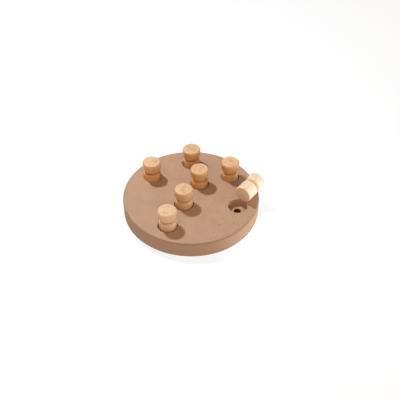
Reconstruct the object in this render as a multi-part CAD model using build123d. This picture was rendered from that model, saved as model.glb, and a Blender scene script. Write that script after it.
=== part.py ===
from build123d import *
import math
import os

# All lengths are millimetres, angles are degrees.
# The board lies on Z = 0 with its centre at the origin, and its recesses are mirrored about the YZ plane.

# Peg: a turned spool with a slim foot lobe, a narrow groove and a fuller knob lobe
foot_diameter = 32.0
foot_edge_radius = 2.0
foot_length = 28.0
foot_shoulder_rise = 5.2
neck_diameter = 20.0
groove_width = 2.0
knob_diameter = 33.8
knob_waist_diameter = 31.2
knob_shoulder_drop = 4.0
knob_length = 21.5
knob_edge_radius = 3.2

# Board
foot_clearance = 1.5
recess_depth = 13.0
recess_lip_radius = 0.5
pocket_diameter = 13.0
pocket_depth = 10.0
pocket_lip_radius = 0.4
board_web = 8.5
rim_land = 18.0
board_edge_radius = 3.0
underside_edge_radius = 1.5
cut_overrun = 1.0

# Layout: four places evenly spaced along the back of a ring, one at its front, and two inside it
ring_radius = 89.5
back_spacing = 82.376
front_angle = 180.0
inner_back_offset = 34.5
inner_front_offset = 28.5

# Each peg stands a little off the centre of its recess, by these shares of the foot clearance along X and Y
seat_shift_shares = {
    "peg_left": (0.1, -0.8),
    "peg_back_left": (0.35, -0.15),
    "peg_back_right": (0.0, -0.5),
    "peg_front": (0.0, 0.8),
    "peg_inner_back": (-0.3, -0.1),
    "peg_inner_front": (-0.2, 0.7),
}

# The peg that lies on the board beside the empty recess
loose_shift_across = 2.0
loose_shift_along = 15.0
loose_heading = 10.0
lying_clearance = 0.25

# Sizes that follow from the ones above
foot_radius = foot_diameter / 2
neck_radius = neck_diameter / 2
knob_radius = knob_diameter / 2
knob_waist_radius = knob_waist_diameter / 2
peg_length = foot_length + knob_length
recess_radius = foot_radius + foot_clearance
pocket_radius = pocket_diameter / 2
board_radius = ring_radius + recess_radius + rim_land
board_thickness = board_web + pocket_depth + recess_depth
seat_height = board_thickness - recess_depth
back_angle = 2 * math.degrees(math.asin(back_spacing / 2 / ring_radius))
ring_angles = {
    "peg_left": -1.5 * back_angle,
    "peg_back_left": -0.5 * back_angle,
    "peg_back_right": 0.5 * back_angle,
    "peg_front": front_angle,
}
empty_angle = 1.5 * back_angle


def ring_place(angle):
    """Centre of a place on the ring, at an angle from the +Y axis towards +X."""
    turn = math.radians(angle)
    return Vector(ring_radius * math.sin(turn), ring_radius * math.cos(turn))


def turned(outline):
    """Solid turned about the Z axis from an outline drawn as radius and height."""
    return revolve(Plane.XZ * make_face(outline), Axis.Z)


def peg():
    """One peg that stands on its foot at the origin."""
    groove_low = foot_length - groove_width / 2
    groove_high = foot_length + groove_width / 2
    foot_shoulder = groove_low - foot_shoulder_rise
    knob_shoulder = groove_high + knob_shoulder_drop
    foot_edge = CenterArc(
        (foot_radius - foot_edge_radius, foot_edge_radius), foot_edge_radius, start_angle=-90, arc_size=90
    )
    foot_round = TangentArc((foot_radius, foot_shoulder), (neck_radius, groove_low), tangent=(0, 1))
    knob_flank = TangentArc(
        (knob_radius, peg_length - knob_edge_radius), (knob_waist_radius, knob_shoulder), tangent=(0, -1)
    )
    knob_round = TangentArc(knob_flank @ 1, (neck_radius, groove_high), tangent=knob_flank % 1)
    knob_edge = CenterArc(
        (knob_radius - knob_edge_radius, peg_length - knob_edge_radius),
        knob_edge_radius,
        start_angle=0,
        arc_size=90,
    )
    outline = [
        Line((0, 0), foot_edge @ 0),
        foot_edge,
        Line(foot_edge @ 1, foot_round @ 0),
        foot_round,
        Line(foot_round @ 1, knob_round @ 1),
        knob_round,
        knob_flank,
        knob_edge,
        Line(knob_edge @ 1, (0, peg_length)),
        Line((0, peg_length), (0, 0)),
    ]
    return turned(Curve() + outline)


def stepped_hole():
    """Cutter for one recess with its treat pocket, with the board's top face at height zero."""
    pocket_floor = -recess_depth - pocket_depth
    pocket_lip = CenterArc(
        (pocket_radius + pocket_lip_radius, -recess_depth - pocket_lip_radius),
        pocket_lip_radius,
        start_angle=180,
        arc_size=-90,
    )
    recess_lip = CenterArc(
        (recess_radius + recess_lip_radius, -recess_lip_radius),
        recess_lip_radius,
        start_angle=180,
        arc_size=-90,
    )
    outline = [
        Polyline((0, cut_overrun), (0, pocket_floor), (pocket_radius, pocket_floor), pocket_lip @ 0),
        pocket_lip,
        Polyline(pocket_lip @ 1, (recess_radius, -recess_depth), recess_lip @ 0),
        recess_lip,
        Polyline(recess_lip @ 1, (recess_radius + recess_lip_radius, cut_overrun), (0, cut_overrun)),
    ]
    return turned(Curve() + outline)


def board(places):
    """The slab with rounded edges and a stepped hole at each place."""
    slab = Cylinder(board_radius, board_thickness, align=(Align.CENTER, Align.CENTER, Align.MIN))
    rims = slab.edges().filter_by(GeomType.CIRCLE).sort_by(Axis.Z)
    slab = fillet(rims[-1], board_edge_radius)
    foot_rim = slab.edges().filter_by(GeomType.CIRCLE).sort_by(Axis.Z)[0]
    slab = fillet(foot_rim, underside_edge_radius)
    hole = stepped_hole()
    for place in places:
        slab -= Pos(place.X, place.Y, board_thickness) * hole
    return slab


def seated_peg(spool, place, shift_shares):
    """The peg on the floor of its recess, off the centre by shares of the foot clearance."""
    across, along = shift_shares
    return Pos(place.X + across * foot_clearance, place.Y + along * foot_clearance, seat_height) * spool


def lying_peg(spool):
    """The peg on its side on the board, its foot over the rim of the empty recess."""
    foot_station = foot_edge_radius
    knob_station = peg_length - knob_edge_radius
    lean = math.degrees(math.atan2(knob_radius - foot_radius, knob_station - foot_station))
    empty = ring_place(empty_angle)
    laid = Rot(0, 0, -loose_heading) * Rot(lean - 90, 0, 0) * spool
    rest_height = board_thickness + lying_clearance - laid.bounding_box().min.Z
    return Pos(empty.X + loose_shift_across, empty.Y + loose_shift_along, rest_height) * laid


places = {name: ring_place(angle) for name, angle in ring_angles.items()}
places["peg_inner_back"] = Vector(0, inner_back_offset)
places["peg_inner_front"] = Vector(0, -inner_front_offset)

spool = peg()
parts = {"board": board([*places.values(), ring_place(empty_angle)])}
for name, place in places.items():
    parts[name] = seated_peg(spool, place, seat_shift_shares[name])
parts["peg_loose"] = lying_peg(spool)

os.makedirs("parts", exist_ok=True)
for name, solid in parts.items():
    export_step(solid, f"parts/{name}.step")
    box = solid.bounding_box()
    print(name, "volume", round(solid.volume), "low", box.min, "high", box.max)
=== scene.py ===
"""Looks of a wooden pet puzzle: a drilled fibre board, seven turned pegs, a pale studio and the camera.

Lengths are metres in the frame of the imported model: +Z up, the board's underside on Z = 0 and its centre at
the origin. A number times MM is a length in millimetres. Fields that hold angles are in degrees.
"""

import logging
import math
from collections.abc import Mapping
from dataclasses import dataclass
from enum import Enum
from typing import Any

import bpy
from bpy.types import Material, Mesh, Node, NodeOutputs, NodeSocket, NodeTree, Object, World
from mathutils import Matrix, Vector

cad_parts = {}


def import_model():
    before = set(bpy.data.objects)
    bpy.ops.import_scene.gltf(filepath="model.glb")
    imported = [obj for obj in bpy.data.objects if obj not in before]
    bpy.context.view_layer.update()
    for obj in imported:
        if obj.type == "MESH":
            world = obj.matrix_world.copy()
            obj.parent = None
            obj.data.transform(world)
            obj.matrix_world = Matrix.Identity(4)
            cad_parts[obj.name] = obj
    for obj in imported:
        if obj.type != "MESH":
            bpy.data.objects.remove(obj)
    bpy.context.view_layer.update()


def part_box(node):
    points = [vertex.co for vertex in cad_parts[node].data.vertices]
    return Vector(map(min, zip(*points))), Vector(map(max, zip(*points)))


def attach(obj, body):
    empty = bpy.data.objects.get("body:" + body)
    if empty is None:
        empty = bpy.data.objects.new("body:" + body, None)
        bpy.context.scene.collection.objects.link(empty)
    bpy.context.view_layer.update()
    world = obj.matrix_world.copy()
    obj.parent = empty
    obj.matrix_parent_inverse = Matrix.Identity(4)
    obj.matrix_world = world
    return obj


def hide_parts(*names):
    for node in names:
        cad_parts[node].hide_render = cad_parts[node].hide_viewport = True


MM = 0.001
TURN = 2 * math.pi
CUT_ACROSS = "cut_across"
GRAIN_AT = "grain_at"
PALENESS = "paleness"
LOG = logging.getLogger("pet_puzzle")

Pair = tuple[float, float]
Point = tuple[float, float, float]


class Cut(Enum):
    """How a surface was cut, as the value that an outline's stations carry and the materials read."""

    EDGE = -1.0
    # The dents' middles: crushed skin, darkened as painted shade in the dents
    SKINNED = -0.22
    ALONG = 0.0
    # The band of an end next to its rim: worn smooth, and painted as a highlight
    RUBBED = 0.5
    ACROSS = 1.0
    BORED = 2.0


class LampShape(Enum):
    """Outline of an area light."""

    DISC = "DISK"
    SQUARE = "SQUARE"


def linear(hex_colour: str) -> tuple[float, float, float, float]:
    """Turns an sRGB colour to the linear values that a shader takes.

    Args:
        hex_colour: the colour as "#rrggbb".

    Returns:
        Linear red, green and blue, and an alpha of 1.
    """
    shares = [int(hex_colour[i : i + 2], 16) / 255 for i in (1, 3, 5)]
    red, green, blue = (s / 12.92 if s <= 0.04045 else ((s + 0.055) / 1.055) ** 2.4 for s in shares)
    return red, green, blue, 1.0


def per_length(length: float) -> float:
    """Gives the texture scale whose pattern repeats about once in a length."""
    return 1.0 / length


def add(tree: NodeTree, kind: str, feeds: Mapping[Any, Any] | None = None, **settings: Any) -> Node:
    """Adds a node to a tree with its settings and links.

    Args:
        tree: the tree that gets the node.
        kind: the node's type.
        feeds: for each input, by name or index, a value, a socket, a node, or a list where an input joins
            several. A node gives its first live output.
        settings: the node's own properties.

    Returns:
        The new node.
    """
    node = tree.nodes.new(kind)
    for name, value in settings.items():
        setattr(node, name, value)
    for key, value in (feeds or {}).items():
        live = [s for s in node.inputs if s.enabled]
        socket = live[key] if isinstance(key, int) else next(s for s in live if s.name == key)
        for feed in value if isinstance(value, list) else [value]:
            if isinstance(feed, Node):
                feed = next(s for s in feed.outputs if s.enabled)
            if isinstance(feed, NodeSocket):
                tree.links.new(feed, socket)
            else:
                socket.default_value = feed
    return node


def cleared_nodes(owner: Material | World) -> NodeTree:
    """Turns on the nodes of a new material or world and takes away the ones it starts with.

    Args:
        owner: the material or the world.

    Returns:
        Its empty tree.
    """
    owner.use_nodes = True
    owner.node_tree.nodes.clear()
    return owner.node_tree


def new_geometry_tree(name: str, **inputs: list[str]) -> tuple[NodeTree, NodeOutputs]:
    """Makes an empty Geometry Nodes tree with named inputs and one geometry output.

    Args:
        name: the tree's name.
        inputs: the names of the inputs, by kind of socket.

    Returns:
        The tree and the sockets that give its inputs.
    """
    tree = bpy.data.node_groups.new(name, "GeometryNodeTree")
    for kind, labels in inputs.items():
        for label in labels:
            tree.interface.new_socket(label, in_out="INPUT", socket_type="NodeSocket" + kind)
    tree.interface.new_socket("Geometry", in_out="OUTPUT", socket_type="NodeSocketGeometry")
    return tree, add(tree, "NodeGroupInput").outputs


def place_mesh(name: str, mesh: Mesh) -> Object:
    """Puts a mesh in the scene as an object at the origin.

    Args:
        name: the object's name.
        mesh: its mesh.

    Returns:
        The new object.
    """
    obj = bpy.data.objects.new(name, mesh)
    bpy.context.scene.collection.objects.link(obj)
    return obj


def drop(obj: Object) -> None:
    """Removes a helper object and its mesh.

    Args:
        obj: the helper.
    """
    mesh = obj.data
    bpy.data.objects.remove(obj)
    bpy.data.meshes.remove(mesh)


def run_tree(name: str, seed_mesh: Mesh, tree: NodeTree, inputs: Mapping[str, Any]) -> Mesh:
    """Runs a Geometry Nodes tree on a mesh and keeps what comes out as a plain mesh.

    Args:
        name: the name of the new mesh.
        seed_mesh: the mesh that goes in, which is used up.
        tree: the tree.
        inputs: the values of its named inputs.

    Returns:
        The finished mesh.
    """
    holder = place_mesh(name + "_blank", seed_mesh)
    modifier = holder.modifiers.new(tree.name, "NODES")
    modifier.node_group = tree
    for item in tree.interface.items_tree:
        if item.item_type == "SOCKET" and item.in_out == "INPUT" and item.name in inputs:
            modifier[item.identifier] = inputs[item.name]
    graph = bpy.context.evaluated_depsgraph_get()
    result = holder.evaluated_get(graph)
    mesh = bpy.data.meshes.new_from_object(result, preserve_all_data_layers=True, depsgraph=graph)
    mesh.name = name
    holder.modifiers.clear()
    drop(holder)
    return mesh


def points_mesh(name: str, points: list[Vector]) -> Mesh:
    """Makes a mesh of loose points.

    Args:
        name: the mesh's name.
        points: the points.

    Returns:
        The new mesh.
    """
    mesh = bpy.data.meshes.new(name)
    mesh.from_pydata(points, [], [])
    return mesh


def mesh_middle(mesh: Mesh) -> Vector:
    """Finds the point half way between the lowest and the highest corner of a mesh's box."""
    columns = list(zip(*(v.co for v in mesh.vertices)))
    return (Vector(map(min, columns)) + Vector(map(max, columns))) / 2


def hand_over(mesh: Mesh, node: str) -> None:
    """Puts a finished mesh in the scene in place of a CAD node, riding that node's body.

    Args:
        mesh: the mesh, in the place where it stands at rest.
        node: the CAD node, whose body has the same name.
    """
    obj = place_mesh(mesh.name, mesh)
    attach(obj, node)
    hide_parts(node)
    LOG.info("%s: %d faces for %s", obj.name, len(mesh.polygons), node)


class Outline:
    """Half section of a turned or drilled form, as stations of radius, height and cut."""

    least_arc_steps = 4

    def __init__(self, radius: float, height: float, heading: Pair, cut: Cut) -> None:
        """Starts the outline.

        Args:
            radius: radius of the first station.
            height: its height.
            heading: direction in which an arc would leave it.
            cut: how its surface was cut.
        """
        self.at = Vector((radius, height))
        self.heading = Vector(heading).normalized()
        self.across = cut.value
        self.stations = [(radius, height, self.across)]

    def line_to(self, radius: float, height: float, cut: Cut, pitch: float) -> "Outline":
        """Runs straight to a point, with stations no further apart than the pitch.

        Args:
            radius: radius of the end.
            height: height of the end.
            cut: the cut at the end, blended evenly along the way.
            pitch: largest step between stations.

        Returns:
            The outline itself.
        """
        start, end = self.at, Vector((radius, height))
        steps = max(1, math.ceil((end - start).length / pitch))
        self._follow([start.lerp(end, k / steps) for k in range(1, steps + 1)], cut)
        self.heading = (end - start).normalized()
        return self

    def arc_to(self, radius: float, height: float, cut: Cut, pitch: float) -> "Outline":
        """Runs to a point on the arc that leaves along the present heading.

        Args:
            radius: radius of the end.
            height: height of the end.
            cut: the cut at the end, blended evenly along the way.
            pitch: largest step between stations.

        Returns:
            The outline itself.
        """
        start, chord = self.at, Vector((radius, height)) - self.at
        turn = 2 * math.atan2(self.heading.cross(chord), self.heading.dot(chord))
        arc_radius = chord.length / (2 * math.sin(turn / 2))
        steps = max(self.least_arc_steps, math.ceil(abs(turn * arc_radius) / pitch))
        points = []
        for k in range(1, steps + 1):
            half = turn * k / steps / 2
            points.append(start + Matrix.Rotation(half, 2) @ self.heading * (2 * arc_radius * math.sin(half)))
        self._follow(points, cut)
        self.heading = Matrix.Rotation(turn, 2) @ self.heading
        return self

    def _follow(self, points: list[Vector], cut: Cut) -> None:
        """Adds stations whose cut goes over evenly to the given one.

        Args:
            points: the stations as radius and height.
            cut: the cut at the last one.
        """
        for k, point in enumerate(points, start=1):
            share = k / len(points)
            self.stations.append((point.x, point.y, self.across + (cut.value - self.across) * share))
        self.at, self.across = points[-1], cut.value

    def joined_to_reverse_of(self, other: "Outline") -> "Outline":
        """Goes on along another outline that ends at the same point, back to that one's start."""
        self.stations += other.stations[-2::-1]
        return self

    def as_mesh(self, name: str) -> Mesh:
        """Makes a chain of edges in the XZ plane that carries each station's cut.

        Args:
            name: the mesh's name.

        Returns:
            The new mesh.
        """
        mesh = bpy.data.meshes.new(name)
        edges = [(i, i + 1) for i in range(len(self.stations) - 1)]
        mesh.from_pydata([(radius, 0, height) for radius, height, _ in self.stations], edges, [])
        layer = mesh.attributes.new(CUT_ACROSS, "FLOAT", "POINT")
        layer.data.foreach_set("value", [across for _, _, across in self.stations])
        return mesh


class Workshop:
    """The shared Geometry Nodes groups: the lathe, the marks that a cutter leaves, and the edge shading."""

    weld = 0.002 * MM
    crease = math.radians(48)

    def __init__(self) -> None:
        """Builds the three groups."""
        self.lathe = self._lathe()
        self.tool_marks = self._tool_marks()
        self.finishing = self._finishing()

    def _lathe(self) -> NodeTree:
        """Group that turns an outline about the Z axis.

        Returns:
            The group, with the outline's cut carried over to the turned surface.
        """
        tree, given = new_geometry_tree("lathe", Geometry=["Outline"], Int=["Segments"])
        outline, segments = given["Outline"], given["Segments"]
        stations = add(tree, "GeometryNodeAttributeDomainSize", {"Geometry": outline}, component="MESH")
        columns = add(tree, "ShaderNodeMath", {0: segments, 1: 1.0}, operation="ADD")
        sheet = add(tree, "GeometryNodeMeshGrid", {"Vertices X": columns, "Vertices Y": stations})
        index = add(tree, "GeometryNodeInputIndex")
        station = add(tree, "ShaderNodeMath", {0: index, 1: stations}, operation="MODULO")
        column = add(tree, "ShaderNodeMath", {0: index, 1: stations}, operation="DIVIDE")
        column = add(tree, "ShaderNodeMath", {0: column}, operation="FLOOR")
        share = add(tree, "ShaderNodeMath", {0: column, 1: segments}, operation="DIVIDE")
        angle = add(tree, "ShaderNodeMath", {0: share, 1: TURN}, operation="MULTIPLY")
        place = add(tree, "GeometryNodeInputPosition")
        section = add(tree, "GeometryNodeSampleIndex", {
            "Geometry": outline, "Value": place, "Index": station,
        }, data_type="FLOAT_VECTOR")
        swung = add(tree, "ShaderNodeVectorRotate", {
            "Vector": section, "Angle": angle,
        }, rotation_type="Z_AXIS")
        cut = add(tree, "GeometryNodeInputNamedAttribute", {"Name": CUT_ACROSS}, data_type="FLOAT")
        across = add(tree, "GeometryNodeSampleIndex", {
            "Geometry": outline, "Value": cut, "Index": station,
        }, data_type="FLOAT")
        kept = add(tree, "GeometryNodeStoreNamedAttribute", {
            "Geometry": sheet, "Name": CUT_ACROSS, "Value": across,
        }, data_type="FLOAT")
        turned = add(tree, "GeometryNodeSetPosition", {"Geometry": kept, "Position": swung})
        closed = add(tree, "GeometryNodeMergeByDistance", {"Geometry": turned, "Distance": self.weld})
        add(tree, "NodeGroupOutput", {"Geometry": closed})
        return tree

    def _tool_marks(self) -> NodeTree:
        """Group that presses a cutter's rings, and the slight waver of its feed, into a turned surface.

        Returns:
            The group. Its share input is how strongly each point is marked.
        """
        tree, sizes = new_geometry_tree(
            "tool marks", Geometry=["Geometry"], Float=["Share", "Pitch", "Depth", "Waver", "Waver size"]
        )
        place = add(tree, "GeometryNodeInputPosition")
        spot = add(tree, "ShaderNodeSeparateXYZ", {"Vector": place})
        flat = add(tree, "ShaderNodeCombineXYZ", {"X": spot.outputs["X"], "Y": spot.outputs["Y"]})
        radius = add(tree, "ShaderNodeVectorMath", {0: flat}, operation="LENGTH")
        way = add(tree, "ShaderNodeMath", {0: radius, 1: spot.outputs["Z"]}, operation="ADD")
        rings = add(tree, "ShaderNodeMath", {0: way, 1: sizes["Pitch"]}, operation="DIVIDE")
        rings = add(tree, "ShaderNodeMath", {0: rings, 1: TURN}, operation="MULTIPLY")
        rings = add(tree, "ShaderNodeMath", {0: rings}, operation="SINE")
        rings = add(tree, "ShaderNodeMath", {0: rings, 1: sizes["Depth"]}, operation="MULTIPLY")
        often = add(tree, "ShaderNodeMath", {0: 1.0, 1: sizes["Waver size"]}, operation="DIVIDE")
        waver = add(tree, "ShaderNodeTexNoise", {"Vector": place, "Scale": often, "Detail": 1.0})
        waver = add(tree, "ShaderNodeMath", {0: waver, 1: 0.5}, operation="SUBTRACT")
        waver = add(tree, "ShaderNodeMath", {0: waver, 1: sizes["Waver"]}, operation="MULTIPLY")
        depth = add(tree, "ShaderNodeMath", {0: rings, 1: waver}, operation="ADD")
        depth = add(tree, "ShaderNodeMath", {0: depth, 1: sizes["Share"]}, operation="MULTIPLY")
        outward = add(tree, "GeometryNodeInputNormal")
        push = add(tree, "ShaderNodeVectorMath", {0: outward, "Scale": depth}, operation="SCALE")
        marked = add(tree, "GeometryNodeSetPosition", {"Geometry": sizes["Geometry"], "Offset": push})
        add(tree, "NodeGroupOutput", {"Geometry": marked})
        return tree

    def _finishing(self) -> NodeTree:
        """Group that welds a piece, shades it smooth but for its sharp corners, and gives it its material.

        Returns:
            The group.
        """
        tree, given = new_geometry_tree("finishing", Geometry=["Geometry"], Material=["Material"])
        real = add(tree, "GeometryNodeRealizeInstances", {"Geometry": given["Geometry"]})
        closed = add(tree, "GeometryNodeMergeByDistance", {"Geometry": real, "Distance": self.weld})
        smooth = add(tree, "GeometryNodeSetShadeSmooth", {
            "Geometry": closed, "Shade Smooth": True,
        }, domain="FACE")
        bend = add(tree, "GeometryNodeInputMeshEdgeAngle")
        sharp = add(tree, "FunctionNodeCompare", {
            0: bend, 1: self.crease,
        }, data_type="FLOAT", operation="GREATER_THAN")
        creased = add(tree, "GeometryNodeSetShadeSmooth", {
            "Geometry": smooth, "Selection": sharp, "Shade Smooth": False,
        }, domain="EDGE")
        dressed = add(tree, "GeometryNodeSetMaterial", {"Geometry": creased, "Material": given["Material"]})
        add(tree, "NodeGroupOutput", {"Geometry": dressed})
        return tree


@dataclass(frozen=True)
class FibreBoardFinish:
    """Medium-density fibreboard: faces pressed and sanded, edges and recesses milled across its layers."""

    face: str = "#b38d70"
    edge: str = "#a37b61"
    # Dark specks, also the colour of the painted shade on the edge's rounding and in the dents
    speck_and_shade: str = "#886349"
    milled: str = "#b89477"
    # Dark brown painted down the pockets as painted shade
    pocket_shade: str = "#7c4a28"
    # Share of the painted shade line along the edge's rounding
    edge_shade_share: float = 0.6
    cloud_size: float = 26 * MM
    cloud_span: Pair = (0.3, 0.7)
    cloud_share: float = 0.26
    fibre_size: float = 1.6 * MM
    fibre_curl: float = 1.5
    speckle_span: Pair = (0.5, 0.78)
    speckle_share: float = 0.85
    layer_size: float = 0.8 * MM
    layer_flatness: float = 0.12
    layer_span: Pair = (0.35, 0.7)
    layer_share: float = 0.35
    relief_depth: float = 0.08 * MM
    relief_strength: float = 0.4
    roughness: float = 0.58
    milled_roughness: float = 0.75
    specular: float = 0.35

    def material(self) -> Material:
        """Builds the material in object coordinates.

        Returns:
            The material, rougher where the surface is cut across the layers.
        """
        # Wood fibres pressed with resin, sanded on the faces and milled with a form cutter. To the eye it is
        # matt and evenly brown, with soft clouds, fine dark specks, and faint layers where it is cut.
        material = bpy.data.materials.new("MDF pressed, sanded, edges milled")
        tree = cleared_nodes(material)
        place = add(tree, "ShaderNodeTexCoord").outputs["Object"]
        across = add(tree, "ShaderNodeAttribute", attribute_name=CUT_ACROSS).outputs["Fac"]

        # The fibres and the layers are drawn coarser than real ones so that they show
        clouds = add(tree, "ShaderNodeTexNoise", {
            "Vector": place, "Scale": per_length(self.cloud_size), "Detail": 3.0, "Roughness": 0.55,
        })
        fibres = add(tree, "ShaderNodeTexNoise", {
            "Vector": place, "Scale": per_length(self.fibre_size), "Detail": 3.0, "Roughness": 0.7,
            "Distortion": self.fibre_curl,
        })
        flattened = add(tree, "ShaderNodeMapping", {
            "Vector": place, "Scale": (self.layer_flatness, self.layer_flatness, 1.0),
        })
        layers = add(tree, "ShaderNodeTexNoise", {
            "Vector": flattened, "Scale": per_length(self.layer_size), "Detail": 4.0, "Roughness": 0.6,
        })
        shares = {}
        for name, pattern, (low, high), most in (
            ("clouds", clouds, self.cloud_span, self.cloud_share),
            ("speckle", fibres, self.speckle_span, self.speckle_share),
            ("layers", layers, self.layer_span, self.layer_share),
        ):
            shares[name] = add(tree, "ShaderNodeMapRange", {
                "Value": pattern, "From Min": low, "From Max": high, "To Max": most,
            })
        speck_and_shade = linear(self.speck_and_shade)
        wall, side = (
            add(tree, "ShaderNodeMix", {
                "Factor": shares["layers"], "A": linear(base), "B": speck_and_shade,
            }, data_type="RGBA")
            for base in (self.milled, self.edge)
        )

        # A darker line along the rounding of the edge: partly the pressed skin cut through there, partly
        # painted shade where the rounding turns away from the light
        # Towards the edge this share goes over to the side's colour; in the dents it darkens the colour as
        # painted shade
        side_and_dent_shade = add(tree, "ShaderNodeMapRange", {
            "Value": across, "From Min": Cut.ALONG.value, "From Max": Cut.EDGE.value,
        })
        line = add(tree, "ShaderNodeMath", {0: side_and_dent_shade, 1: 0.5}, operation="PINGPONG")
        line = add(tree, "ShaderNodeMath", {0: line, 1: 2 * self.edge_shade_share}, operation="MULTIPLY")
        # Painted shade: the pockets' walls and floors darken towards a dark brown
        depth = add(tree, "ShaderNodeMapRange", {
            "Value": across, "From Min": Cut.ACROSS.value, "From Max": Cut.BORED.value,
        })

        # Laid over the face's colour one after another
        colour = linear(self.face)
        for share, over in (
            (shares["clouds"], speck_and_shade), (shares["speckle"], speck_and_shade), (side_and_dent_shade, side), (line, speck_and_shade),
            (across, wall), (depth, linear(self.pocket_shade)),
        ):
            colour = add(tree, "ShaderNodeMix", {"Factor": share, "A": colour, "B": over}, data_type="RGBA")
        cut_share = add(tree, "ShaderNodeMath", {0: across}, operation="ABSOLUTE")
        roughness = add(tree, "ShaderNodeMapRange", {
            "Value": cut_share, "To Min": self.roughness, "To Max": self.milled_roughness,
        })
        relief = add(tree, "ShaderNodeBump", {
            "Height": fibres, "Strength": self.relief_strength, "Distance": self.relief_depth,
        })
        skin = add(tree, "ShaderNodeBsdfPrincipled", {
            "Base Color": colour, "Roughness": roughness, "Normal": relief,
            "Specular IOR Level": self.specular,
        })
        add(tree, "ShaderNodeOutputMaterial", {"Surface": skin})
        return material


@dataclass(frozen=True)
class TurnedWoodFinish:
    """Beech turned on a lathe and waxed: a honey flank, paler end grain with a painted highlight at its rim,
    growth rings and fine flecks.
    """

    honey: str = "#ce9761"
    honey_dark: str = "#b87c47"
    cream: str = "#e6cbb2"
    cream_dark: str = "#d4ae89"
    # End grain painted paler than the flanks, partly painted light where the ends face the lamp
    honey_end_lit: str = "#d6b38b"
    cream_end_lit: str = "#dcbb99"
    # Colour of the ends' rims: worn smooth, and a painted highlight
    rubbed_and_highlight: str = "#d9ab81"
    pore: str = "#8f6238"
    ring_width: float = 3.6 * MM
    ring_sharpness: float = 1.6
    flank_ring_share: float = 0.34
    end_ring_share: float = 0.52
    wander: float = 1.6 * MM
    wander_size: float = 22 * MM
    wander_flatness: float = 0.15
    fibre_size: float = 0.45 * MM
    fibre_flatness: float = 0.035
    fibre_span: Pair = (0.35, 0.7)
    fibre_share: float = 0.5
    fleck_size: float = 0.7 * MM
    fleck_flatness: float = 0.2
    fleck_span: Pair = (0.66, 0.74)
    fleck_share: float = 0.4
    blotch_size: float = 8 * MM
    blotch_span: Pair = (0.42, 0.6)
    blotch_share: float = 0.42
    rim_span: Pair = (0.38, 0.49)
    inner_span: Pair = (0.5, 0.95)
    relief_depth: float = 0.04 * MM
    relief_strength: float = 0.3
    roughness: float = 0.45
    specular: float = 0.45
    wax_weight: float = 0.12
    wax_roughness: float = 0.35

    def material(self) -> Material:
        """Builds the material in each peg's own grain coordinates, with the fibres along their Z axis.

        Returns:
            The material, which reads the cut and the paleness of each point.
        """
        # Beech turned between centres, its ends faced off, then sanded on the lathe and waxed. To the eye it
        # has a soft sheen, honey flanks with fine streaks and short flecks, and ends with growth rings. The
        # ends are painted paler than the flanks, partly painted light where they face the lamp, and their
        # rims carry a painted highlight.
        material = bpy.data.materials.new("Beech turned and waxed")
        tree = cleared_nodes(material)
        place = add(tree, "ShaderNodeAttribute", attribute_name=GRAIN_AT).outputs["Vector"]
        across = add(tree, "ShaderNodeAttribute", attribute_name=CUT_ACROSS).outputs["Fac"]
        pale = add(tree, "ShaderNodeAttribute", attribute_name=PALENESS).outputs["Fac"]
        rings = self._rings(tree, place)

        # Fibres and short flecks along the grain, and soft blotches where the end grain takes up the wax
        noises = {}
        for name, size, flatness, detail, roughness in (
            ("fibres", self.fibre_size, self.fibre_flatness, 3.0, 0.6),
            ("flecks", self.fleck_size, self.fleck_flatness, 1.0, 0.4),
            ("blotches", self.blotch_size, 1.0, 1.0, 0.5),
        ):
            drawn = add(tree, "ShaderNodeMapping", {"Vector": place, "Scale": (1.0, 1.0, flatness)})
            noises[name] = add(tree, "ShaderNodeTexNoise", {
                "Vector": drawn, "Scale": per_length(size), "Detail": detail, "Roughness": roughness,
            })
        shares = {}
        for name, (low, high), most in (
            ("fibres", self.fibre_span, self.fibre_share),
            ("flecks", self.fleck_span, self.fleck_share),
            ("blotches", self.blotch_span, self.blotch_share),
        ):
            shares[name] = add(tree, "ShaderNodeMapRange", {
                "Value": noises[name], "From Min": low, "From Max": high, "To Max": most,
            })

        # A paler billet goes over from the honey colours to the cream ones
        woods = {}
        for name, honey, cream in (
            ("flank", self.honey, self.cream), ("dark", self.honey_dark, self.cream_dark),
            ("end", self.honey_end_lit, self.cream_end_lit),
        ):
            woods[name] = add(tree, "ShaderNodeMix", {
                "Factor": pale, "A": linear(honey), "B": linear(cream),
            }, data_type="RGBA")
        for name, ring_share, other in (
            ("flank", self.flank_ring_share, shares["fibres"]),
            ("end", self.end_ring_share, shares["blotches"]),
        ):
            shade = add(tree, "ShaderNodeMath", {0: rings, 1: ring_share}, operation="MULTIPLY")
            shade = add(tree, "ShaderNodeMath", {0: shade, 1: other}, operation="ADD", use_clamp=True)
            woods[name] = add(tree, "ShaderNodeMix", {
                "Factor": shade, "A": woods[name], "B": woods["dark"],
            }, data_type="RGBA")

        # The ends carry a painted highlight towards their rims, where the wood is also worn smooth, and the
        # rim goes over to the flank in a soft line
        inner, rim = (
            add(tree, "ShaderNodeMapRange", {"Value": across, "From Min": low, "From Max": high})
            for low, high in (self.inner_span, self.rim_span)
        )
        end = add(tree, "ShaderNodeMix", {
            "Factor": inner, "A": linear(self.rubbed_and_highlight), "B": woods["end"],
        }, data_type="RGBA")
        wood = add(tree, "ShaderNodeMix", {"Factor": rim, "A": woods["flank"], "B": end}, data_type="RGBA")
        wood = add(tree, "ShaderNodeMix", {
            "Factor": shares["flecks"], "A": wood, "B": linear(self.pore),
        }, data_type="RGBA")
        relief = add(tree, "ShaderNodeBump", {
            "Height": noises["fibres"], "Strength": self.relief_strength, "Distance": self.relief_depth,
        })
        skin = add(tree, "ShaderNodeBsdfPrincipled", {
            "Base Color": wood, "Roughness": self.roughness, "Normal": relief,
            "Specular IOR Level": self.specular, "Coat Weight": self.wax_weight,
            "Coat Roughness": self.wax_roughness,
        })
        add(tree, "ShaderNodeOutputMaterial", {"Surface": skin})
        return material

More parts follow.
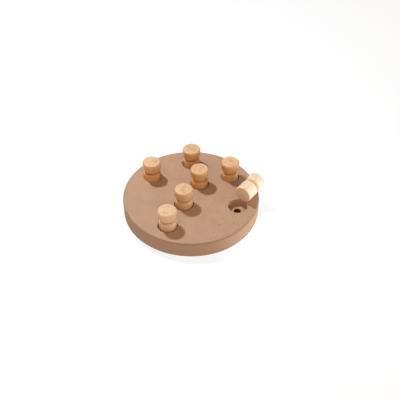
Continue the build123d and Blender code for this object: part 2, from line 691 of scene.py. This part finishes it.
    def _rings(self, tree: NodeTree, place: NodeSocket) -> Node:
        """Adds growth rings about a pith that lies off the turning axis.

        Args:
            tree: the material's tree.
            place: the grain coordinates, whose Z axis is the pith.

        Returns:
            The node that gives the rings' shade, which rises from 0 to 1 across each ring.
        """
        # The rings are drawn coarser than beech grows so that they show
        drawn = add(tree, "ShaderNodeMapping", {"Vector": place, "Scale": (1.0, 1.0, self.wander_flatness)})
        drift = add(tree, "ShaderNodeTexNoise", {
            "Vector": drawn, "Scale": per_length(self.wander_size), "Detail": 2.0,
        })
        drift = add(tree, "ShaderNodeMath", {0: drift, 1: self.wander}, operation="MULTIPLY")
        flat = add(tree, "ShaderNodeVectorMath", {0: place, 1: (1.0, 1.0, 0.0)}, operation="MULTIPLY")
        distance = add(tree, "ShaderNodeVectorMath", {0: flat}, operation="LENGTH")
        distance = add(tree, "ShaderNodeMath", {0: distance, 1: drift}, operation="ADD")
        often = per_length(self.ring_width)
        rings = add(tree, "ShaderNodeMath", {0: distance, 1: often}, operation="MULTIPLY")
        rings = add(tree, "ShaderNodeMath", {0: rings}, operation="FRACT")
        return add(tree, "ShaderNodeMath", {0: rings, 1: self.ring_sharpness}, operation="POWER")


@dataclass(frozen=True)
class PaperFinish:
    """White seamless paper under the board, lit from below so that it stays pale."""

    paper: str = "#7c7c7c"
    light: str = "#ffffff"
    glow: float = 0.8
    patch_glow: float = 1.65
    patch_place: Point = (0.19, -0.03, 0.0)
    patch_span: Pair = (40 * MM, 110 * MM)
    roughness: float = 0.95

    def material(self) -> Material:
        """Builds the material in object coordinates.

        Returns:
            The material, which glows most strongly in a patch beside the board on the right.
        """
        # Cut from a roll of uncoated paper, which gives the eye an even white with no gloss
        material = bpy.data.materials.new("White seamless paper")
        tree = cleared_nodes(material)
        place = add(tree, "ShaderNodeTexCoord").outputs["Object"]
        away = add(tree, "ShaderNodeVectorMath", {0: place, 1: self.patch_place}, operation="DISTANCE")
        near, far = self.patch_span
        glow = add(tree, "ShaderNodeMapRange", {
            "Value": away, "From Min": near, "From Max": far, "To Min": self.patch_glow, "To Max": self.glow,
        }, interpolation_type="SMOOTHSTEP")
        skin = add(tree, "ShaderNodeBsdfPrincipled", {
            "Base Color": linear(self.paper), "Roughness": self.roughness, "Specular IOR Level": 0.0,
            "Emission Color": linear(self.light), "Emission Strength": glow,
        })
        add(tree, "ShaderNodeOutputMaterial", {"Surface": skin})
        return material


@dataclass(frozen=True)
class Layout:
    """Where the recesses lie: four spaced evenly along a ring's back, one at its front, and two inside it."""

    ring_radius: float = 89.5 * MM
    back_spacing: float = 82.376 * MM
    inner_back_offset: float = 34.5 * MM
    inner_front_offset: float = 28.5 * MM

    def places(self) -> list[Vector]:
        """Works out the recesses' centres in plan.

        Returns:
            Seven points at height zero.
        """
        step = 2 * math.asin(self.back_spacing / 2 / self.ring_radius)
        turns = [k * step for k in (-1.5, -0.5, 0.5, 1.5)] + [math.pi]
        ring = [Vector((self.ring_radius * math.sin(a), self.ring_radius * math.cos(a), 0.0)) for a in turns]
        inner = [Vector((0.0, y, 0.0)) for y in (self.inner_back_offset, -self.inner_front_offset)]
        return ring + inner


@dataclass
class DrilledBoard:
    """The round slab with seven stepped recesses, dented a little where the pegs have knocked it."""

    shop: Workshop
    material: Material
    layout: Layout = Layout()
    radius: float = 125 * MM
    thickness: float = 31.5 * MM
    edge_radius: float = 3 * MM
    underside_edge_radius: float = 1.5 * MM
    recess_radius: float = 17.5 * MM
    recess_depth: float = 13 * MM
    recess_lip: float = 0.5 * MM
    pocket_radius: float = 6.5 * MM
    pocket_depth: float = 10 * MM
    pocket_lip: float = 0.4 * MM
    corner_radius: float = 0.4 * MM
    border: float = 0.3 * MM
    side_pitch: float = 2 * MM
    wall_pitch: float = 0.45 * MM
    pocket_pitch: float = 0.9 * MM
    lip_pitch: float = 0.15 * MM
    mark_pitch: float = 1.3 * MM
    mark_depth: float = 0.03 * MM
    waver_size: float = 9 * MM
    rim_segments: int = 256
    recess_segments: int = 96
    dent_segments: int = 20
    dent_steps: int = 6
    dent_radius: float = 1.6 * MM
    dent_border: float = 0.1 * MM
    dent_depth: float = 0.9 * MM
    dent_scales: Pair = (0.65, 1.1)
    dent_seed: int = 4
    # The dents' places in plan, in millimetres
    dents: tuple[Pair, ...] = (
        (59.8, 20.8), (92.2, -16.8), (92.6, -10.9), (97.9, -13.0), (99.8, -31.7), (117.6, -4.1),
        (110.5, -41.9), (78.1, -31.0), (81.2, -47.0), (80.0, -69.6), (16.2, -73.0),
    )

    def _rim(self) -> Outline:
        """Draws the middle of the underside, round the edge and on to the border of the top face.

        Returns:
            The outline.
        """
        low, high = self.underside_edge_radius, self.edge_radius
        rim = Outline(0.0, 0.0, (1, 0), Cut.ALONG)
        rim.line_to(self.radius - low - self.border, 0.0, Cut.ALONG, self.radius)
        rim.line_to(self.radius - low, 0.0, Cut.ALONG, self.radius)
        rim.arc_to(self.radius, low, Cut.EDGE, self.border)
        rim.line_to(self.radius, self.thickness - high, Cut.EDGE, self.side_pitch)
        rim.arc_to(self.radius - high, self.thickness, Cut.ALONG, self.border)
        return rim.line_to(self.radius - high - self.border, self.thickness, Cut.ALONG, self.radius)

    def _recess(self) -> Outline:
        """Draws the top face's border, over the recess's lip and floor and on to the middle of its pocket.

        Returns:
            The outline.
        """
        seat = self.thickness - self.recess_depth
        bottom = seat - self.pocket_depth
        mouth = self.recess_radius + self.recess_lip
        hole = Outline(mouth + self.border, self.thickness, (-1, 0), Cut.ALONG)
        hole.line_to(mouth, self.thickness, Cut.ALONG, self.radius)
        hole.arc_to(self.recess_radius, self.thickness - self.recess_lip, Cut.ACROSS, self.lip_pitch)
        hole.line_to(self.recess_radius, seat + self.corner_radius, Cut.ACROSS, self.wall_pitch)
        hole.arc_to(self.recess_radius - self.corner_radius, seat, Cut.ACROSS, self.lip_pitch)
        hole.line_to(self.pocket_radius + self.pocket_lip, seat, Cut.ACROSS, self.wall_pitch)
        # From the pocket's lip down, the surface is painted darker as painted shade
        hole.arc_to(self.pocket_radius, seat - self.pocket_lip, Cut.BORED, self.lip_pitch)
        hole.line_to(self.pocket_radius, bottom, Cut.BORED, self.pocket_pitch)
        return hole.line_to(0.0, bottom, Cut.BORED, self.pocket_pitch)

    def _dent(self) -> Outline:
        """Draws one shallow bowl, from its lip at height zero to its middle.

        Returns:
            The outline.
        """
        slope = 2 * math.atan2(self.dent_depth, self.dent_radius)
        bowl = Outline(self.dent_radius + self.dent_border, 0.0, (-1, 0), Cut.ALONG)
        bowl.line_to(self.dent_radius, 0.0, Cut.ALONG, self.radius)
        bowl.heading = Vector((-math.cos(slope), -math.sin(slope)))
        # The bowl's middle is marked for painted shade, which darkens the dent
        return bowl.arc_to(0.0, -self.dent_depth, Cut.SKINNED, self.dent_radius / self.dent_steps)

    def _tree(self) -> NodeTree:
        """Makes the tree that turns the rim, repeats the recess and the dent, and fills the top between them.

        Returns:
            The tree, whose geometry input is the places of the recesses.
        """
        tree, sizes = new_geometry_tree(
            "drilled board", Geometry=["Places"], Object=["Rim", "Recess", "Dent", "Dent places"],
            Int=["Rim segments", "Recess segments", "Dent segments", "Dent seed"],
            Float=["Smallest dent", "Largest dent", "Thickness", "Mark pitch", "Mark depth", "Waver size"],
            Material=["Material"],
        )
        shape = {
            name: add(tree, "GeometryNodeObjectInfo", {"Object": sizes[name]}).outputs["Geometry"]
            for name in ("Rim", "Recess", "Dent", "Dent places")
        }
        turned = {
            name: add(tree, "GeometryNodeGroup", {
                "Outline": shape[name], "Segments": sizes[name + " segments"],
            }, node_tree=self.shop.lathe)
            for name in ("Rim", "Recess", "Dent")
        }
        across = add(tree, "GeometryNodeInputNamedAttribute", {"Name": CUT_ACROSS}, data_type="FLOAT")
        marked = add(tree, "GeometryNodeGroup", {
            "Geometry": turned["Recess"], "Share": across, "Pitch": sizes["Mark pitch"],
            "Depth": sizes["Mark depth"], "Waver": sizes["Mark depth"], "Waver size": sizes["Waver size"],
        }, node_tree=self.shop.tool_marks)
        recesses = add(tree, "GeometryNodeInstanceOnPoints", {
            "Points": sizes["Places"], "Instance": marked,
        })
        scale = add(tree, "FunctionNodeRandomValue", {
            "Min": sizes["Smallest dent"], "Max": sizes["Largest dent"], "Seed": sizes["Dent seed"],
        }, data_type="FLOAT")
        dents = add(tree, "GeometryNodeInstanceOnPoints", {
            "Points": shape["Dent places"], "Instance": turned["Dent"], "Scale": scale,
        })
        joined = add(tree, "GeometryNodeJoinGeometry", {"Geometry": [turned["Rim"], recesses, dents]})
        walls = add(tree, "GeometryNodeRealizeInstances", {"Geometry": joined})
        faces = add(tree, "GeometryNodeInputMeshEdgeNeighbors")
        open_edge = add(tree, "FunctionNodeCompare", {0: faces, 1: 1}, data_type="INT", operation="EQUAL")
        loops = add(tree, "GeometryNodeMeshToCurve", {"Mesh": walls, "Selection": open_edge})
        lid = add(tree, "GeometryNodeFillCurve", {"Curve": loops})
        lift = add(tree, "ShaderNodeCombineXYZ", {"Z": sizes["Thickness"]})
        lid = add(tree, "GeometryNodeSetPosition", {"Geometry": lid, "Offset": lift})
        whole = add(tree, "GeometryNodeJoinGeometry", {"Geometry": [walls, lid]})
        done = add(tree, "GeometryNodeGroup", {
            "Geometry": whole, "Material": sizes["Material"],
        }, node_tree=self.shop.finishing)
        add(tree, "NodeGroupOutput", {"Geometry": done})
        return tree

    def build(self) -> None:
        """Builds the board in place of its CAD node."""
        spots = [Vector((x * MM, y * MM, self.thickness)) for x, y in self.dents]
        shapes = {
            "Rim": self._rim().as_mesh("rim_outline"), "Recess": self._recess().as_mesh("recess_outline"),
            "Dent": self._dent().as_mesh("dent_outline"), "Dent places": points_mesh("dent_places", spots),
        }
        helpers = {name: place_mesh(shape.name, shape) for name, shape in shapes.items()}
        smallest, largest = self.dent_scales
        mesh = run_tree("drilled_board", points_mesh("recess_places", self.layout.places()), self._tree(), {
            **helpers, "Rim segments": self.rim_segments, "Recess segments": self.recess_segments,
            "Dent segments": self.dent_segments, "Dent seed": self.dent_seed,
            "Smallest dent": smallest, "Largest dent": largest, "Thickness": self.thickness,
            "Mark pitch": self.mark_pitch, "Mark depth": self.mark_depth, "Waver size": self.waver_size,
            "Material": self.material,
        })
        for helper in helpers.values():
            drop(helper)
        hand_over(mesh, "board")


@dataclass(frozen=True)
class Billet:
    """The stick of beech for one peg: how pale it is, how its grain lies off the axis, and the peg's spin."""

    node: str
    paleness: float
    grain_shift: Pair
    spin: float


@dataclass
class TurnedPeg:
    """One spool-shaped peg: a slim foot lobe, a narrow groove and a fuller knob lobe with a rounded rim."""

    tree: NodeTree
    material: Material
    billet: Billet
    foot_radius: float = 16 * MM
    foot_edge: float = 2 * MM
    foot_length: float = 28 * MM
    foot_shoulder_rise: float = 5.2 * MM
    neck_radius: float = 10 * MM
    groove_width: float = 2 * MM
    knob_radius: float = 16.9 * MM
    knob_waist_radius: float = 15.6 * MM
    knob_shoulder_drop: float = 4 * MM
    knob_length: float = 21.5 * MM
    knob_edge: float = 3.2 * MM
    # Width of the band of painted highlight on each end's rim
    rubbed_highlight_rim: float = 3.2 * MM
    dimple_radius: float = 1.6 * MM
    dimple_depth: float = 0.5 * MM
    pitch: float = 0.55 * MM
    segments: int = 96
    mark_pitch: float = 0.9 * MM
    mark_depth: float = 0.012 * MM
    waver: float = 0.08 * MM
    waver_size: float = 8 * MM

    @staticmethod
    def make_tree(shop: Workshop) -> NodeTree:
        """Makes the tree that turns a peg from its outline and stores its grain.

        Args:
            shop: the shared groups.

        Returns:
            The tree.
        """
        tree, sizes = new_geometry_tree(
            "turned peg", Geometry=["Outline"], Int=["Segments"], Vector=["Grain shift"],
            Float=["Mark pitch", "Mark depth", "Waver", "Waver size", "Paleness"], Material=["Material"],
        )
        turned = add(tree, "GeometryNodeGroup", {
            "Outline": sizes["Outline"], "Segments": sizes["Segments"],
        }, node_tree=shop.lathe)
        place = add(tree, "GeometryNodeInputPosition")
        grain = add(tree, "ShaderNodeVectorMath", {0: place, 1: sizes["Grain shift"]}, operation="ADD")
        for name, value, kind in ((GRAIN_AT, grain, "FLOAT_VECTOR"), (PALENESS, sizes["Paleness"], "FLOAT")):
            turned = add(tree, "GeometryNodeStoreNamedAttribute", {
                "Geometry": turned, "Name": name, "Value": value,
            }, data_type=kind)
        marked = add(tree, "GeometryNodeGroup", {
            "Geometry": turned, "Share": 1.0, "Pitch": sizes["Mark pitch"], "Depth": sizes["Mark depth"],
            "Waver": sizes["Waver"], "Waver size": sizes["Waver size"],
        }, node_tree=shop.tool_marks)
        done = add(tree, "GeometryNodeGroup", {
            "Geometry": marked, "Material": sizes["Material"],
        }, node_tree=shop.finishing)
        add(tree, "NodeGroupOutput", {"Geometry": done})
        return tree

    @property
    def length(self) -> float:
        """Length of the peg from its foot to the top of its knob."""
        return self.foot_length + self.knob_length

    def _outline(self) -> Outline:
        """Draws the middle of the foot, up the flank and on to the middle of the knob's top.

        Returns:
            The outline.
        """
        low = self.foot_length - self.groove_width / 2
        high = self.foot_length + self.groove_width / 2
        top, step = self.length, self.pitch
        foot = Outline(0.0, 0.0, (1, 0), Cut.ACROSS)
        foot.line_to(self.foot_radius - self.foot_edge - self.rubbed_highlight_rim, 0.0, Cut.ACROSS, 2 * step)
        foot.line_to(self.foot_radius - self.foot_edge, 0.0, Cut.RUBBED, step)
        foot.arc_to(self.foot_radius, self.foot_edge, Cut.ALONG, step)
        foot.line_to(self.foot_radius, low - self.foot_shoulder_rise, Cut.ALONG, step)
        foot.arc_to(self.neck_radius, low, Cut.ALONG, step)
        foot.line_to(self.neck_radius, high, Cut.ALONG, step)
        knob = Outline(0.0, top - self.dimple_depth, (1, 0), Cut.ACROSS)
        knob.arc_to(self.dimple_radius, top, Cut.ACROSS, step / 2)
        knob.line_to(self.knob_radius - self.knob_edge - self.rubbed_highlight_rim, top, Cut.ACROSS, step)
        knob.line_to(self.knob_radius - self.knob_edge, top, Cut.RUBBED, step)
        knob.arc_to(self.knob_radius, top - self.knob_edge, Cut.ALONG, step)
        knob.arc_to(self.knob_waist_radius, high + self.knob_shoulder_drop, Cut.ALONG, step)
        knob.arc_to(self.neck_radius, high, Cut.ALONG, step)
        return foot.joined_to_reverse_of(knob)

    def _pose(self) -> Matrix:
        """Turn of the peg about its own axis, standing."""
        return Matrix.Rotation(math.radians(self.billet.spin), 4, "Z")

    def build(self) -> None:
        """Builds the peg in place of its CAD node, its box centred on the node's box."""
        node = self.billet.node
        outline = self._outline().as_mesh("peg_outline")

        # The grain is shifted along the axis too, by an amount that differs from peg to peg
        mesh = run_tree(node.replace("peg", "turned_peg"), outline, self.tree, {
            "Segments": self.segments, "Mark pitch": self.mark_pitch, "Mark depth": self.mark_depth,
            "Waver": self.waver, "Waver size": self.waver_size,
            "Grain shift": (*self.billet.grain_shift, self.billet.spin * MM),
            "Paleness": self.billet.paleness, "Material": self.material,
        })
        mesh.transform(self._pose())
        low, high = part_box(node)
        mesh.transform(Matrix.Translation((low + high) / 2 - mesh_middle(mesh)))
        hand_over(mesh, node)


@dataclass
class LyingPeg(TurnedPeg):
    """A peg that lies on its side across the board."""

    heading: float = 10.0

    def _pose(self) -> Matrix:
        """Turn of the peg about its own axis, then onto its side, then to its heading.

        Returns:
            The turn as a matrix.
        """
        rise = self.knob_radius - self.foot_radius
        lean = math.atan2(rise, self.length - self.knob_edge - self.foot_edge)
        laid = Matrix.Rotation(lean - math.pi / 2, 4, "X")
        return Matrix.Rotation(-math.radians(self.heading), 4, "Z") @ laid @ super()._pose()


@dataclass(frozen=True)
class Lamp:
    """One area light, aimed at the board."""

    name: str
    colour: str
    power: float
    size: float
    place: Point
    shape: LampShape = LampShape.SQUARE

    def hang(self) -> None:
        """Hangs the lamp at its place and keeps it out of the picture."""
        light = bpy.data.lights.new(self.name, "AREA")
        light.shape = self.shape.value
        light.color = linear(self.colour)[:3]
        light.energy = self.power
        light.size = self.size
        obj = bpy.data.objects.new(self.name, light)
        obj.visible_camera = False
        place = Vector(self.place)
        obj.matrix_world = Matrix.Translation(place) @ place.to_track_quat("Z", "Y").to_matrix().to_4x4()
        bpy.context.scene.collection.objects.link(obj)


@dataclass
class Studio:
    """Pale floor and sky, a near key light from the back left, a low fill, a soft front light, the camera."""

    paper: PaperFinish = PaperFinish()
    floor_radius: float = 5.0
    floor_sides: int = 96
    floor_drop: float = 0.2 * MM
    lamps: tuple[Lamp, ...] = (
        Lamp("key", "#e4f1ff", 14.4, 0.11, (-0.604, 0.222, 1.072), LampShape.DISC),
        Lamp("fill", "#d8f7ff", 1.45, 0.22, (0.42, 0.09, 0.05)),
        Lamp("front", "#fff1e2", 6.3, 0.9, (0.55, -1.1, 1.05)),
    )
    sky_colour: str = "#ffe4c9"
    sky_strength: float = 0.4
    wall_colour: str = "#fffdfb"
    wall_strength: float = 0.92
    wall_fade: Pair = (0.12, 0.42)
    aim: Point = (0.02118, -0.00551, 0.0315)
    azimuth: float = 26.7
    elevation: float = 43.46
    roll: float = 0.67
    distance: float = 1.2245
    lens: float = 60.33
    nearest: float = 0.01

    def _floor(self) -> None:
        """Lays a pale disc just under the board."""
        mesh = bpy.data.meshes.new("studio_floor")
        turns = [i * TURN / self.floor_sides for i in range(self.floor_sides)]
        reach = self.floor_radius
        ring = [(reach * math.cos(a), reach * math.sin(a), -self.floor_drop) for a in turns]
        mesh.from_pydata(ring, [], [tuple(range(self.floor_sides))])
        mesh.materials.append(self.paper.material())
        place_mesh("studio_floor", mesh)

    def _sky(self) -> None:
        """Sets a soft sky over a pale wall that fades out between two heights of the view direction."""
        world = bpy.data.worlds.new("studio_sky")
        tree = cleared_nodes(world)
        sky, wall = (
            add(tree, "ShaderNodeBackground", {"Color": linear(colour), "Strength": strength})
            for colour, strength in (
                (self.sky_colour, self.sky_strength), (self.wall_colour, self.wall_strength),
            )
        )
        heading = add(tree, "ShaderNodeTexCoord").outputs["Generated"]
        rise = add(tree, "ShaderNodeSeparateXYZ", {"Vector": heading}).outputs["Z"]
        low, high = self.wall_fade
        above = add(tree, "ShaderNodeMapRange", {
            "Value": rise, "From Min": low, "From Max": high,
        }, interpolation_type="SMOOTHSTEP")
        around = add(tree, "ShaderNodeMixShader", {0: above, 1: wall, 2: sky})
        add(tree, "ShaderNodeOutputWorld", {"Surface": around})
        bpy.context.scene.world = world

    def _camera(self) -> None:
        """Sets the camera at the height and side from which the photograph was taken."""
        turn, rise, roll = (math.radians(a) for a in (self.azimuth, self.elevation, self.roll))
        back = Vector((math.sin(turn) * math.cos(rise), -math.cos(turn) * math.cos(rise), math.sin(rise)))
        right = Vector((math.cos(turn), math.sin(turn), 0.0))
        axes = Matrix((right, back.cross(right), back)).transposed().to_4x4()
        lens = bpy.data.cameras.new("camera")
        lens.lens = self.lens
        lens.clip_start = self.nearest
        camera = bpy.data.objects.new("camera", lens)
        place = Matrix.Translation(Vector(self.aim) + back * self.distance)
        camera.matrix_world = place @ axes @ Matrix.Rotation(roll, 4, "Z")
        bpy.context.scene.collection.objects.link(camera)
        bpy.context.scene.camera = camera

    def build(self) -> None:
        """Sets up the floor, the sky, the lamps, the camera and a plain view transform."""
        self._floor()
        self._sky()
        for lamp in self.lamps:
            lamp.hang()
        self._camera()
        bpy.context.scene.view_settings.view_transform = "Standard"
        LOG.info("studio with %d lamps", len(self.lamps))


SEATED = (
    Billet("peg_left", 0.0, (-2.9 * MM, -0.8 * MM), 20.0),
    Billet("peg_back_left", 0.05, (-1.9 * MM, -3.1 * MM), 75.0),
    Billet("peg_back_right", 0.08, (-1.1 * MM, -0.1 * MM), 140.0),
    Billet("peg_front", 0.38, (-9.2 * MM, 5.7 * MM), 205.0),
    Billet("peg_inner_back", 0.0, (2.7 * MM, -3.0 * MM), 255.0),
    Billet("peg_inner_front", 0.1, (1.4 * MM, -2.9 * MM), 310.0),
)
LOOSE = Billet("peg_loose", 1.0, (7.0 * MM, -8.0 * MM), 30.0)


def main() -> None:
    """Builds the board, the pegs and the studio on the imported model."""
    logging.basicConfig(level=logging.INFO, format="%(message)s")
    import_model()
    shop = Workshop()
    board_finish = FibreBoardFinish().material()
    peg_finish = TurnedWoodFinish().material()
    DrilledBoard(shop, board_finish).build()
    peg_tree = TurnedPeg.make_tree(shop)
    for billet in SEATED:
        TurnedPeg(peg_tree, peg_finish, billet).build()
    LyingPeg(peg_tree, peg_finish, LOOSE).build()
    Studio().build()


if __name__ == "__main__":
    main()
